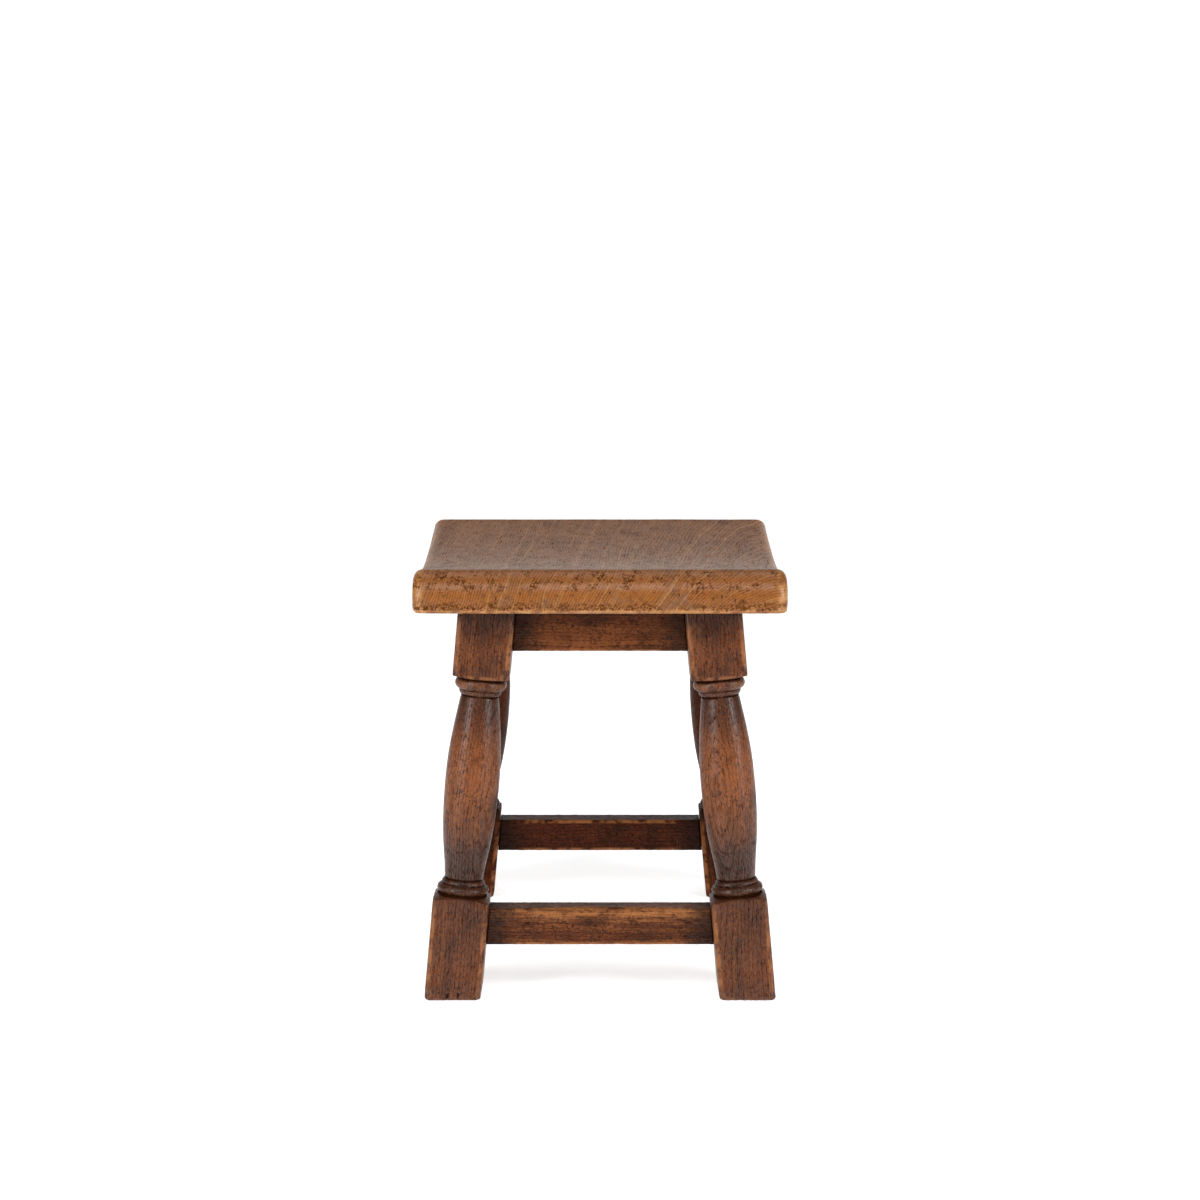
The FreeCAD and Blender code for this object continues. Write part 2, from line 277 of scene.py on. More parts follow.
def ring(low_radius, bulge, high_radius, low, high):
    """A turned half-round between two heights."""
    return arc(at(low_radius, low), at(bulge, (low + high) / 2), at(high_radius, high), turned_steps)


# %% A smooth line for the baluster
def smooth_line(points, steps):
    """Points on a smooth line through all of the given points."""
    ends = [2 * points[0] - points[1], *points, 2 * points[-1] - points[-2]]
    line = []
    for a, b, c, d in zip(ends, ends[1:], ends[2:], ends[3:]):
        slope_b = (c - a) * (c.z - b.z) / (c.z - a.z)
        slope_c = (d - b) * (c.z - b.z) / (d.z - b.z)
        for step in range(steps):
            t = step / steps
            bend = (slope_b * (t ** 3 - 2 * t ** 2 + t) + slope_c * (t ** 3 - t ** 2))
            line.append(b * (2 * t ** 3 - 3 * t ** 2 + 1) + c * (3 * t ** 2 - 2 * t ** 3) + bend)
    return line + [points[-1]]


# %% Draw the half profile and spin it
bound = leg_stock / math.sqrt(2) + MM
ring_low = foot_block + shoulder_rise
bead_low = ring_low + foot_ring + groove
baluster_low = bead_low + foot_bead + groove
collar = top_block - collar_rise
ring_high = collar - neck_ring
bead_high = ring_high - groove - neck_bead
baluster_high = bead_high - groove
swelling = [
    at(share * baluster_radius, baluster_low + height_share * (baluster_high - baluster_low))
    for height_share, share in baluster_shares
]
foot_corner = at(half_stock, foot_block + shoulder_drop)
foot_shoulder = (at(bound, foot_block), foot_corner, at(groove_radius, ring_low))
top_corner = at(half_stock, top_block - collar_drop)
top_shoulder = (at(groove_radius, collar), top_corner, at(bound, top_block))
profile = [at(0, -2 * spare), at(bound, -2 * spare)]
profile += arc(*foot_shoulder, turned_steps)
profile += ring(groove_radius, ring_radius, groove_radius, ring_low, ring_low + foot_ring)
profile += ring(groove_radius, foot_bead_radius, foot_neck_radius, bead_low, baluster_low)
profile += smooth_line(swelling, 6)[1:]
profile += ring(top_neck_radius, neck_bead_radius, groove_radius, bead_high, ring_high - groove)
profile += ring(groove_radius, ring_radius, groove_radius, ring_high, collar)
profile += arc(*top_shoulder, turned_steps)[1:]
profile += [at(bound, leg_length + 2 * spare), at(0, leg_length + 2 * spare)]

turning = draw_line("turning", profile)
bpy.ops.object.mode_set(mode="EDIT")
bpy.ops.mesh.spin(steps=96, angle=math.radians(360), center=(0, 0, 0), axis=(0, 0, 1))
bpy.ops.mesh.select_all(action="SELECT")
bpy.ops.mesh.remove_doubles(threshold=0.02 * MM)
bpy.ops.mesh.normals_make_consistent(inside=False)
bpy.ops.object.mode_set(mode="OBJECT")
print("turning with", len(turning.data.polygons), "faces from a line of", len(profile), "points")

# %% Turn the billet and lean it
cut_with(leg_blank, turning, "INTERSECT")
leg_blank.data.transform(front_left)
print("turned leg with", len(leg_blank.data.polygons), "faces")

# %% [markdown]
# ## Wear
# Wear only takes wood away, so every dent and hollow goes inwards from the new surface. A
# voxel remesh first gives the piece an even skin of small faces and softens its arrises.
# Then each vertex is compared with its smoothed surroundings: what stands out is an arris, and
# what lies back is a groove. The measure is taken before any dent is pressed, or every dent
# would count as an arris too. The arrises lose more, in irregular chips, and the measure is
# kept on the mesh, because the finish is rubbed off the arrises and gathers in the grooves.


# %% Measure arrises and grooves
def stand_out(piece, reach):
    """How far each vertex stands out of its surroundings, smoothed over about this reach."""
    mesh = piece.data
    count = len(mesh.vertices)
    places = np.empty(3 * count)
    normals = np.empty(3 * count)
    ends = np.empty(2 * len(mesh.edges), np.int64)
    mesh.vertices.foreach_get("co", places)
    mesh.vertices.foreach_get("normal", normals)
    mesh.edges.foreach_get("vertices", ends)
    places = places.reshape(-1, 3)
    first, second = ends.reshape(-1, 2).T
    spacing = np.linalg.norm(places[first] - places[second], axis=1).mean()
    links = np.bincount(first, minlength=count) + np.bincount(second, minlength=count)
    smooth = places
    for _ in range(max(1, round(2 * (reach / spacing) ** 2))):
        sums = [
            np.bincount(first, smooth[second, axis], count) + np.bincount(second, smooth[first, axis], count)
            for axis in range(3)
        ]
        smooth = np.stack(sums, 1) / links[:, None]
    return ((places - smooth) * normals.reshape(-1, 3)).sum(1)


def clear_of_joints(piece):
    """0 on the faces where a rail meets a leg, 1 a little way off."""
    count = len(piece.data.vertices)
    places = np.ones((count, 4))
    flat = np.empty(3 * count)
    piece.data.vertices.foreach_get("co", flat)
    places[:, :3] = flat.reshape(-1, 3)
    clear = np.ones(count)
    for corner in soles:
        local = places @ np.array(leg_frame(corner).inverted()).T
        outside = np.abs(local[:, :2]).max(1) - half_stock
        clear = np.minimum(clear, np.clip((outside - 0.5 * MM) / joint_margin, 0, 1))
    return clear


# %% Wear a piece down
joint_margin = 6.0 * MM
edge_reach = 3.4 * MM
full_edge = 1.0 * MM
wave_size = 45 * MM
dent_size = 7 * MM
chip_size = 5 * MM
chip_contrast = 2.6


def clouds(name, size, contrast=1.0):
    """A cloudy height pattern whose patches are about this size."""
    texture = bpy.data.textures.get(name) or bpy.data.textures.new(name, "CLOUDS")
    texture.noise_scale = size
    texture.noise_depth = 2
    texture.contrast = contrast
    return texture


def weigh(piece, name, weights):
    """A vertex group with a weight for each vertex, in steps of a tenth."""
    group = piece.vertex_groups.new(name=name)
    tenths = np.round(weights * 10)
    for tenth in range(1, 11):
        group.add(np.nonzero(tenths == tenth)[0].tolist(), tenth / 10, "REPLACE")
    return name


def press(piece, texture, depth, group):
    """Presses a pattern into a piece, inwards only."""
    modify(piece, "DISPLACE", texture=texture, strength=depth, mid_level=1.0, vertex_group=group)


def wear_down(piece, voxel, waves, dents, chips, jointed=False):
    """Remeshes a piece and wears it: depths of its waves, dents and chipped arrises."""
    coarser = 1
    modify(piece, "REMESH", mode="VOXEL", voxel_size=voxel * coarser, use_smooth_shade=True)
    free = clear_of_joints(piece) if jointed else np.ones(len(piece.data.vertices))
    edge = np.clip(stand_out(piece, edge_reach) / full_edge, -1, 1) * free
    kept = piece.data.attributes.new("edge", "FLOAT", "POINT")
    kept.data.foreach_set("value", edge.astype(np.float32))
    everywhere = weigh(piece, "everywhere", free)
    arrises = weigh(piece, "arrises", np.clip((edge - 0.25) / 0.5, 0, 1))
    press(piece, clouds("waves", wave_size), waves, everywhere)
    press(piece, clouds("dents", dent_size), dents, everywhere)
    press(piece, clouds("chips", chip_size, chip_contrast), chips, arrises)
    piece.vertex_groups.clear()
    print(piece.name, "worn, with", len(piece.data.polygons), "faces")


# %% [markdown]
# ## Four legs
# The other legs are mirror images of the first, left to right and front to rear, so the
# turned blank is copied and mirrored, and its faces are turned outwards again. Each copy
# is then split, knocked and worn where it stands, so no two legs are worn alike. The splits
# are drying checks that start at the end grain of the sole: thin wedges cut out of the blank.
# The knocks are hollows struck out of the arrises, most of them on the top blocks.


# %% Drying checks at the sole
wedge_depth = 5.5 * MM
wedge_lean = math.radians(2.5)
wedge_rise = 0.45


def check_wedge(frame_of_leg, across, depth_face, width, height):
    """A thin wedge that stands on the floor and tapers upwards, at a face of the leg."""
    bpy.ops.object.select_all(action="DESELECT")
    bpy.ops.mesh.primitive_cone_add(vertices=4, radius1=1, radius2=0, depth=2)
    wedge = bpy.context.object
    lean = Matrix.Rotation(wedge_lean, 4, "Y")
    size = Matrix.Diagonal((width, wedge_depth, height / 2, 1))
    place = Matrix.Translation((across, depth_face, height * wedge_rise))
    wedge.data.transform(frame_of_leg @ place @ lean @ size)
    return wedge


leg_checks = {
    "front_left": ((-5.0, -1, 2.9, 26.0), (6.5, -1, 2.7, 29.0), (-14.0, -1, 2.5, 20.0), (1.0, 1, 2.6, 22.0)),
    "front_right": ((-8.0, -1, 2.5, 20.0), (9.5, -1, 2.5, 17.0), (4.0, 1, 2.6, 24.0)),
    "rear_left": ((3.0, 1, 2.8, 26.0), (-9.0, 1, 2.6, 18.0), (12.0, -1, 2.5, 16.0)),
    "rear_right": ((-4.0, 1, 2.8, 21.0), (8.0, 1, 2.7, 25.0), (-6.0, -1, 2.5, 18.0)),
}


# %% Knocks on the arrises and the soles
knock_length = 1.4


def knock(leg, frame_of_leg, side_x, side_y, height, radius, bite):
    """Knocks a hollow out of an arris with a long round tool.

    Sizes are in millimetres, and the bite is measured from a sharp arris.
    """
    bpy.ops.object.select_all(action="DESELECT")
    bpy.ops.mesh.primitive_ico_sphere_add(subdivisions=2, radius=radius * MM)
    tool = bpy.context.object
    away = half_stock + (radius - bite) * MM / math.sqrt(2)
    place = Matrix.Translation((side_x * away, side_y * away, height * MM))
    tool.data.transform(frame_of_leg @ place @ Matrix.Diagonal((1, 1, knock_length, 1)))
    cut_with(leg, tool)


sole_knocks = [(x, y, -2.0, 10.0, 5.0) for x in (-1, 1) for y in (-1, 1)]
leg_knocks = {
    "front_left": (
        (1, -1, 334, 9, 5.5), (1, -1, 346, 4, 3.0), (1, -1, 357, 5, 3.2), (1, -1, 366, 4, 3.1),
        (1, -1, 380, 6, 3.0), (-1, -1, 333, 6, 3.4), (1, -1, 62, 6, 2.9), (-1, -1, 30, 7, 2.8),
    ),
    "front_right": (
        (-1, -1, 333, 6, 3.6), (1, -1, 334, 6, 3.2), (-1, -1, 352, 5, 2.9), (1, -1, 371, 7, 2.9),
        (-1, -1, 48, 6, 2.9),
    ),
    "rear_left": ((1, 1, 334, 6, 3.4), (-1, 1, 355, 5, 3.0), (-1, 1, 40, 7, 3.0)),
    "rear_right": ((1, 1, 346, 6, 3.1), (-1, 1, 333, 6, 3.4), (1, 1, 25, 6, 3.0)),
}

# %% Copy, mirror, split and wear the legs
legs = {}
for corner, checks in leg_checks.items():
    leg = copy_of(leg_blank, corner + "_oak_leg")
    sign_x = -math.copysign(1, soles[corner].x)
    sign_y = -math.copysign(1, soles[corner].y)
    leg.data.transform(Matrix.Diagonal((sign_x, sign_y, 1, 1)))
    if sign_x * sign_y < 0:
        leg.data.flip_normals()
    for across, face, width, height in checks:
        place = leg_frame(corner)
        cut_with(leg, check_wedge(place, across * MM, face * half_stock, width * MM / 2, height * MM))
    for knocked in (*leg_knocks[corner], *sole_knocks):
        knock(leg, leg_frame(corner), *knocked)
    wear_down(leg, voxel=1.06 * MM, waves=0.25 * MM, dents=0.10 * MM, chips=0.4 * MM)
    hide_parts(corner + "_leg")
    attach(leg, "root")
    legs[corner] = leg
bpy.data.objects.remove(leg_blank)

# %% [markdown]
# ## The rails
# The aprons and stretchers are plain bars with tenons, screw pockets and, on the front
# stretcher, a hollow that feet have rubbed. The measured model has all of that already, so here
# a copy of each node is merged into a closed skin and worn like the legs. The
# node itself stays as it is and is only hidden.


# %% Copy the rails from the frame and wear them
def from_frame(node, name):
    """A closed copy of a node of the frame."""
    twin = copy_of(frame["nodes"][node], name)
    twin.parent = None
    for key in list(twin.keys()):
        del twin[key]
    take(twin)
    bpy.ops.object.mode_set(mode="EDIT")
    bpy.ops.mesh.select_all(action="SELECT")
    bpy.ops.mesh.remove_doubles(threshold=0.005 * MM)
    bpy.ops.object.mode_set(mode="OBJECT")
    return twin


rails = {}
for side in ("front", "right", "rear", "left"):
    for kind in ("apron", "stretcher"):
        node = side + "_" + kind
        rail = from_frame(node, side + "_oak_" + kind)
        wear_down(rail, voxel=1.2 * MM, waves=0.12 * MM, dents=0.06 * MM, chips=0.2 * MM, jointed=True)
        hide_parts(node)
        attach(rail, "root")
        rails[node] = rail

# %% [markdown]
# ## The seat
# The seat is one thick board, grain from front to rear, hollowed so that it rises to a high
# rounded lip at the front and a lower one at the rear. Its section is drawn as a line of
# tangent arcs, filled, and extruded across the stool. The ends are then rounded. A box
# could be sculpted to the same shape, but a section keeps the dish even from end to end, as
# the adze and the scraper left it.

# %% Seat sizes and the outline of its top
seat_low, seat_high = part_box("seat")
dish_depth = 19.5 * MM
rear_lip_drop = 11.3 * MM
front_roll = 28.0 * MM
rear_roll = 18.0 * MM
crest_radius = 40.0 * MM
long_arc_steps = 14
crest_steps = 5


def half_outline(side, rise, roll):
    """Points from the front (-1) or rear (1) face, over its lip, to the bottom of the dish."""
    lowest = seat_high.z - dish_depth
    top = lowest + rise
    crest = seat_high.y - roll
    slope = 2 * math.atan(rise / crest)
    dish_radius = crest / math.sin(slope) - crest_radius

    def on(middle, level, radius, angle):
        """A point of an arc that is level at its middle; a negative radius curves upwards."""
        along = middle + radius * math.sin(angle)
        return Vector((0, side * along, level - radius * (1 - math.cos(angle))))

    points = arc(*(on(crest, top, roll, math.radians(angle)) for angle in (90, 45, 0)), long_arc_steps)
    points += arc(*(on(crest, top, crest_radius, -slope * part) for part in (0, 0.5, 1)), crest_steps)[1:]
    points += arc(*(on(0, lowest, -dish_radius, -slope * part) for part in (1, 0.5, 0)), long_arc_steps)[1:]
    return points


# %% Draw the whole section and extrude the board
front_outline = half_outline(-1, dish_depth, front_roll)
rear_outline = half_outline(1, dish_depth - rear_lip_drop, rear_roll)
section = [Vector((0, seat_low.y, seat_low.z)), *front_outline]
section += [*reversed(rear_outline[:-1]), Vector((0, seat_high.y, seat_low.z))]
section = [point + Vector((seat_low.x, 0, 0)) for point in section]

seat = draw_line("oak_seat", section)
bpy.ops.object.mode_set(mode="EDIT")
bpy.ops.mesh.edge_face_add()
bpy.ops.mesh.extrude_region_move(TRANSFORM_OT_translate={"value": (seat_high.x - seat_low.x, 0, 0)})
bpy.ops.mesh.select_all(action="SELECT")
bpy.ops.mesh.normals_make_consistent(inside=False)
print("seat section with", len(section), "points")

# %% Round the ends and the underside
end_radius = 10.0 * MM
under_radius = 4.5 * MM
hair = 0.1 * MM


def at_one_end(a, b):
    return abs(a.x - b.x) < hair and max(a.z, b.z) > seat_low.z + hair


def underneath(a, b):
    return max(a.z, b.z) < seat_low.z + hair


bpy.ops.mesh.select_mode(type="EDGE")
select_edges(seat, at_one_end)
bpy.ops.mesh.bevel(offset=end_radius, segments=7, affect="EDGES")
select_edges(seat, underneath)
bpy.ops.mesh.bevel(offset=under_radius, segments=5, affect="EDGES")
bpy.ops.object.mode_set(mode="OBJECT")
print("seat with", len(seat.data.polygons), "faces, from", [round(v / MM, 1) for v in seat.bound_box[0]])

# %% Wear the seat
wear_down(seat, voxel=1.95 * MM, waves=0.25 * MM, dents=0.10 * MM, chips=0.3 * MM)
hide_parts("seat")
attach(seat, "root")

# %% [markdown]
# ## Finishes
# Colours are picked as they look on a screen, so one function turns an sRGB hex value into the
# linear colour that a shader wants. A second one adds a node with its settings, and
# links or fills its inputs, and a third one makes the material that the nodes go into.


# %% Colours and nodes
def colour(value):
    """An sRGB hex colour as a linear colour."""
    channels = [int(value[i:i + 2], 16) / 255 for i in (1, 3, 5)]
    return [*(c / 12.92 if c <= 0.04045 else ((c + 0.055) / 1.055) ** 2.4 for c in channels), 1.0]


def add(tree, kind, inputs=None, stops=(), **settings):
    """Adds a node; an input takes a value or another node's socket, and a ramp takes stops."""
    node = tree.nodes.new("ShaderNode" + kind)
    for name, value in settings.items():
        setattr(node, name, value)
    for name, value in (inputs or {}).items():
        if isinstance(value, bpy.types.NodeSocket):
            tree.links.new(value, node.inputs[name])
        else:
            node.inputs[name].default_value = value
    for place, value in stops[2:]:
        node.color_ramp.elements.new(place)
    for element, (place, value) in zip(node.color_ramp.elements if stops else (), stops):
        element.position = place
        element.color = (value, value, value, 1)
    return node


def new_material(name):
    """A material and its empty node tree."""
    material = bpy.data.materials.new(name)
    material.use_nodes = True
    material.node_tree.nodes.clear()
    return material, material.node_tree


# The sockets of a colour Mix node, which shares its names between several kinds
MIX_FACTOR, MIX_A, MIX_B, MIX_RESULT = 0, 6, 7, 2

# %% [markdown]
# ## Oak
# Oak is ring-porous: each year starts with a row of open pores, which show as dark dashes
# along the grain and take up stain and dirt, and ends with dense, paler wood. The pattern here
# is solid, like the wood: rings about a pith that lies outside the piece, so a flat face, a
# turned swelling and a dish each cut their own figure out of it. Every pattern is in
# millimetres of the piece's own frame, whose Z runs along the grain. A pith is given by its
# place across the grain and by how many degrees it leans from the piece.


# %% Small steps with nodes
def math_node(tree, operation, *values):
    """A Math node on values or sockets."""
    return add(tree, "Math", dict(enumerate(values)), operation=operation).outputs[0]


def product(tree, *factors):
    """All of the factors multiplied."""
    result = factors[0]
    for factor in factors[1:]:
        result = math_node(tree, "MULTIPLY", result, factor)
    return result


def between(tree, value, low, high):
    """0 below the low value, 1 above the high one, and smooth between."""
    return add(tree, "MapRange", {
        "Value": value, "From Min": low, "From Max": high,
    }, interpolation_type="SMOOTHSTEP").outputs[0]


def noise(tree, where, scale, detail=3.0, roughness=0.5):
    """A noise whose scale is given for each axis, in features per millimetre."""
    scaled = add(tree, "Mapping", {"Vector": where, "Scale": scale}).outputs[0]
    return add(tree, "TexNoise", {
        "Vector": scaled, "Scale": 1.0, "Detail": detail, "Roughness": roughness,
    }).outputs["Fac"]


# %% Oak figure
stretched_noises = {
    "grain": ((1.7, 1.7, 0.36), 3.0, 0.65), "fibres": ((0.40, 0.40, 0.035), 3.0, 0.6),
    "pores": ((1.3, 1.3, 0.15), 2.0, 0.5), "mottle": ((0.03, 0.03, 0.022), 4.0, 0.55),
    "blotches": ((0.10, 0.10, 0.075), 4.0, 0.6), "specks": ((0.38, 0.38, 0.30), 5.0, 0.7),
}


def oak_figure(tree, place, pith, ring_width, straight):
    """Sockets of oak's patterns, all from 0 to 1, for a piece whose frame has Z along the grain.

    The straighter the wood is split, the longer are the lines of its grain on the surface.
    """
    spot, turn, _ = place.decompose()
    where = add(tree, "TexCoord").outputs["Object"]
    world = add(tree, "Mapping", {"Vector": where, "Scale": (1 / MM, 1 / MM, 1 / MM)}).outputs[0]
    local = add(tree, "Mapping", {
        "Vector": where, "Location": spot, "Rotation": turn.to_euler(), "Scale": (MM, MM, MM),
    }, vector_type="TEXTURE").outputs[0]
    lean = (math.radians(pith[2]), math.radians(-1.0), 0)
    from_pith = add(tree, "Mapping", {
        "Vector": local, "Location": (-pith[0], -pith[1], 0), "Rotation": lean,
    }).outputs[0]
    across = add(tree, "VectorMath", {0: from_pith, 1: (1, 1, 0)}, operation="MULTIPLY").outputs[0]
    radius = add(tree, "VectorMath", {0: across}, operation="LENGTH").outputs[1]
    sway = noise(tree, local, (0.022, 0.022, 0.007), 3.0)
    swayed = math_node(tree, "MULTIPLY_ADD", sway, 5.0 * ring_width, radius)
    years = math_node(tree, "DIVIDE", swayed, ring_width)
    season = math_node(tree, "FRACT", years)
    slow_years = math_node(tree, "MULTIPLY", years, 0.45)
    year_noise = add(tree, "TexNoise", {"W": slow_years, "Scale": 1.0, "Detail": 2.0}, noise_dimensions="1D")
    figure = {
        "world": world, "local": local, "early": between(tree, season, 0.42, 0.04),
        "years": year_noise.outputs["Fac"],
    }
    for name, (scale, detail, roughness) in stretched_noises.items():
        longer = straight if name in ("grain", "fibres", "pores") else 1.0
        figure[name] = noise(tree, local, (scale[0], scale[1], scale[2] / longer), detail, roughness)
    return figure


# %% [markdown]
# Dark flecks are worm holes, dents filled with wax and knocks that took the stain. They are
# cells of a slanted and stretched Voronoi pattern that are cut down to their very middle, and
# about half of the cells have one. Scratches are thin sheets of a noise squeezed in one
# direction, which meet the surface in short lines.


# %% Marks of use
def marks_of_use(tree, figure):
    """Adds flecks and scratches to the figure, 1 where there is one."""
    crossed = add(tree, "Mapping", {
        "Vector": figure["local"], "Rotation": (0.6, 0.5, 0.4), "Scale": (0.16, 0.06, 0.12),
    }).outputs[0]
    cells = add(tree, "TexVoronoi", {"Vector": crossed, "Scale": 1.0, "Randomness": 1.0})
    middle = between(tree, cells.outputs["Distance"], 0.16, 0.09)
    lot = add(tree, "SeparateColor", {"Color": cells.outputs["Color"]}).outputs[0]
    figure["flecks"] = product(tree, middle, math_node(tree, "GREATER_THAN", lot, 0.45))
    slanted = add(tree, "Mapping", {"Vector": figure["local"], "Rotation": (0.5, 0.9, 0.35)}).outputs[0]
    figure["scratches"] = between(tree, noise(tree, slanted, (0.9, 0.05, 0.028), 1.0), 0.70, 0.76)
    return figure


# %% [markdown]
# The finish is built in layers, in the order in which the real one came about: stained wood,
# golden where hands have rubbed it, then dirt and old wax in the rings, pores and grooves,
# which is nearly black, and last the bare, light arrises. Each piece says where it
# is rubbed and where it is dirty with a function that makes a mask. On the seat's front the
# rubbed mask also paints a highlight, and on the legs and aprons the dirty mask also paints
# shade under the seat.


# %% Layer one colour over another
def layer(tree, below, above, mask, strength=1.0, blend="MIX"):
    """Lays a colour over another where a mask is 1."""
    amount = add(tree, "Math", {0: mask, 1: strength}, operation="MULTIPLY", use_clamp=True).outputs[0]
    return add(tree, "Mix", {
        MIX_FACTOR: amount, MIX_A: below, MIX_B: above,
    }, data_type="RGBA", blend_type=blend).outputs[MIX_RESULT]


# %% Stained wood
def stained(tree, figure, tones):
    """Stained wood with its years, fibres and grain, golden where it is rubbed, which on the seat's front
    also paints a highlight.
    """
    deep, stain, gold, light, tint = (
        colour(tones[tone]) for tone in ("deep", "stain", "rubbed", "light", "tint")
    )
    grain = tones["grain_contrast"]
    tone = layer(tree, deep, stain, between(tree, figure["mottle"], 0.25, 0.60))
    # Golden where rubbed; on the seat's front this also paints a highlight
    tone = layer(tree, tone, gold, figure["rub"])
    tone = layer(tree, tone, light, between(tree, figure["years"], 0.50, 0.72), tones["year_contrast"])
    tone = layer(tree, tone, light, between(tree, figure["fibres"], 0.50, 0.72), 0.14)
    tone = layer(tree, tone, deep, between(tree, figure["fibres"], 0.50, 0.32), 0.17)
    tone = layer(tree, tone, light, between(tree, figure["grain"], 0.52, 0.66), 0.40 * grain)
    tone = layer(tree, tone, deep, between(tree, figure["grain"], 0.50, 0.38), 0.60 * grain)
    tone = layer(tree, tone, deep, between(tree, figure["blotches"], 0.48, 0.34), 0.45)
    return layer(tree, tone, tint, figure["rub"], blend="MULTIPLY")


# %% Dirt and bare arrises
def soiled(tree, figure, tones, tone):
    """Dirt in rings, pores, spots, grooves and flecks, painted shade where the dirty mask holds it, and bare
    wood on arrises and scratches.
    """
    dirt_and_shade, bare = colour(tones["dirt_and_shade"]), colour(tones["bare"])
    uneven = math_node(tree, "MULTIPLY_ADD", between(tree, figure["blotches"], 0.40, 0.58), 0.6, 0.4)
    spotted = between(tree, figure["blotches"], 0.44, 0.60)
    spots = product(tree, spotted, between(tree, figure["specks"], 0.49, 0.54))
    whole = between(tree, figure["blotches"], 0.38, 0.60)
    bare_patches = product(tree, between(tree, figure["edge"], 0.18, 0.60), whole, figure["clean"])
    tone = layer(tree, tone, dirt_and_shade, product(tree, figure["early"], uneven), tones["ring_contrast"])
    tone = layer(tree, tone, dirt_and_shade, figure["vessels"], 0.60 * tones["grain_contrast"])
    tone = layer(tree, tone, dirt_and_shade, spots, tones["spot_contrast"])
    # On the legs and aprons this dirt also darkens their tops under the seat: painted shade
    tone = layer(tree, tone, dirt_and_shade, figure["grime"], 0.80)
    tone = layer(tree, tone, dirt_and_shade, between(tree, figure["edge"], -0.10, -0.60), 0.85)
    tone = layer(tree, tone, bare, bare_patches, tones["bare_share"])
    tone = layer(tree, tone, dirt_and_shade, figure["flecks"], 0.85)
    return layer(tree, tone, bare, figure["scratches"], 0.12)


# %% Relief and polish
relief_depth = 0.3 * MM


def relief_of(tree, figure, tones, strength):
    """A bumped normal: pores, flecks, scratches and early wood lie low, grain and specks stand up."""
    reliefs = (
        ("vessels", -0.5), ("flecks", -1.0), ("scratches", -0.4), ("grain", 0.4 * tones["grain_contrast"]),
        ("specks", 0.15), ("early", -0.15),
    )
    height = 0.0
    for pattern, share in reliefs:
        height = math_node(tree, "MULTIPLY_ADD", figure[pattern], share, height)
    return add(tree, "Bump", {"Height": height, "Strength": strength, "Distance": relief_depth}).outputs[0]


def polish_of(tree, figure, shine, wax, gloss):
    """How strongly the surface reflects: less in grooves, pores and early wood.

    The wax share is added where the dirty mask is, dirt and painted shade alike, and the gloss share where
    it is rubbed and clean.
    """
    waxed = math_node(tree, "MULTIPLY_ADD", figure["grime"], wax, 1.0)
    rubbed_clean = product(tree, between(tree, figure["rub"], 0.60, 1.0), figure["clean"])
    buffed = math_node(tree, "MULTIPLY_ADD", rubbed_clean, gloss, waxed)
    return product(
        tree, between(tree, figure["edge"], -0.60, -0.05), between(tree, figure["pores"], 0.66, 0.50),
        between(tree, figure["early"], 1.8, 0.0), buffed, shine
    )


# %% Stained and waxed oak
def waxed_oak(
    name, place, pith, ring_width, tones, rubbed, dirty_and_shaded,
    shine=0.22, relief=0.6, straight=1.0, wax=0.4, gloss=0.0,
):
    """Stained and waxed oak; two functions give the sockets of its rubbed mask, which on the seat also
    paints a highlight, and of its dirty mask, which on the legs and aprons also paints shade under the seat.
    """
    material, tree = new_material(name)
    figure = marks_of_use(tree, oak_figure(tree, place, pith, ring_width, straight))
    figure["edge"] = add(tree, "Attribute", attribute_name="edge").outputs["Fac"]
    figure["vessels"] = product(tree, between(tree, figure["pores"], 0.50, 0.62), figure["early"])
    figure["rub"] = product(tree, rubbed(tree, figure), between(tree, figure["mottle"], 0.28, 0.55))
    figure["grime"] = dirty_and_shaded(tree, figure)
    figure["clean"] = between(tree, figure["grime"], 0.5, 0.1)
    rough = add(tree, "MapRange", {
        "Value": figure["blotches"], "From Min": 0.3, "From Max": 0.7, "To Min": 0.31, "To Max": 0.45,
    }).outputs[0]
    shader = add(tree, "BsdfPrincipled", {
        "Base Color": soiled(tree, figure, tones, stained(tree, figure, tones)), "Roughness": rough,
        "Normal": relief_of(tree, figure, tones, relief),
        "Specular IOR Level": polish_of(tree, figure, shine, wax, gloss),
    })
    add(tree, "OutputMaterial", {"Surface": shader.outputs[0]})
    return material


# %% [markdown]
# ## The legs' finish
# Hands and clothes have rubbed the swelling of each baluster to a warm gold brown, while the
# rings and the necks stay dark. So the rubbed and dirty masks of a leg follow its height, and each
# leg has its own pith, because it came from another part of the tree. The dirty mask also
# darkens the top of each leg under the seat, which is painted shade. The rear legs get darker
# tones, painted shade, as they stand behind the front legs and under the seat.

# %% Legs
frame_tones = {
    "deep": "#2A140C", "stain": "#562B17", "rubbed": "#844A26", "light": "#92582E", "dirt_and_shade": "#1A0B05",
    "bare": "#A0663A", "tint": "#FFFFFF", "ring_contrast": 0.18, "year_contrast": 0.26,
    "spot_contrast": 0.65, "grain_contrast": 1.0, "bare_share": 0.55,
}
